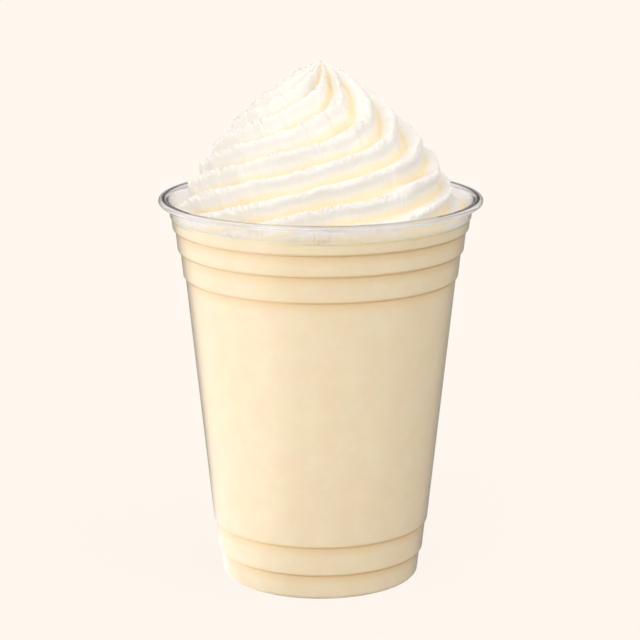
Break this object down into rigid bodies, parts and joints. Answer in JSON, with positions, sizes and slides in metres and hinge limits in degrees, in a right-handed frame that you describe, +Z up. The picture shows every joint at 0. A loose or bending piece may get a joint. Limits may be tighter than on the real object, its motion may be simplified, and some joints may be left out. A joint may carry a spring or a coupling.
{
  "type": "vanilla milkshake in a clear plastic cup",
  "caption": "Vanilla milkshake in a clear tapered plastic cup with stacking rings and a rolled lip, topped with a tall piped swirl of whipped cream.",
  "frame": {"origin": "centre of the ring that the cup stands on", "axes": "+Z up the cup's axis towards the peak of the cream, -Y towards the front"},
  "size_m": [0.098, 0.098, 0.159],
  "materials": {
    "clear_plastic": "clear thin-walled plastic, smooth and glossy",
    "milkshake": "thick smooth vanilla shake, pale warm cream, softly glossy",
    "cream": "whipped cream, nearly white, soft sheen"
  },
  "bodies": {
    "root": {"cup": "clear_plastic", "milkshake": "milkshake", "whipped_cream": "cream"}
  },
  "joints": []
}
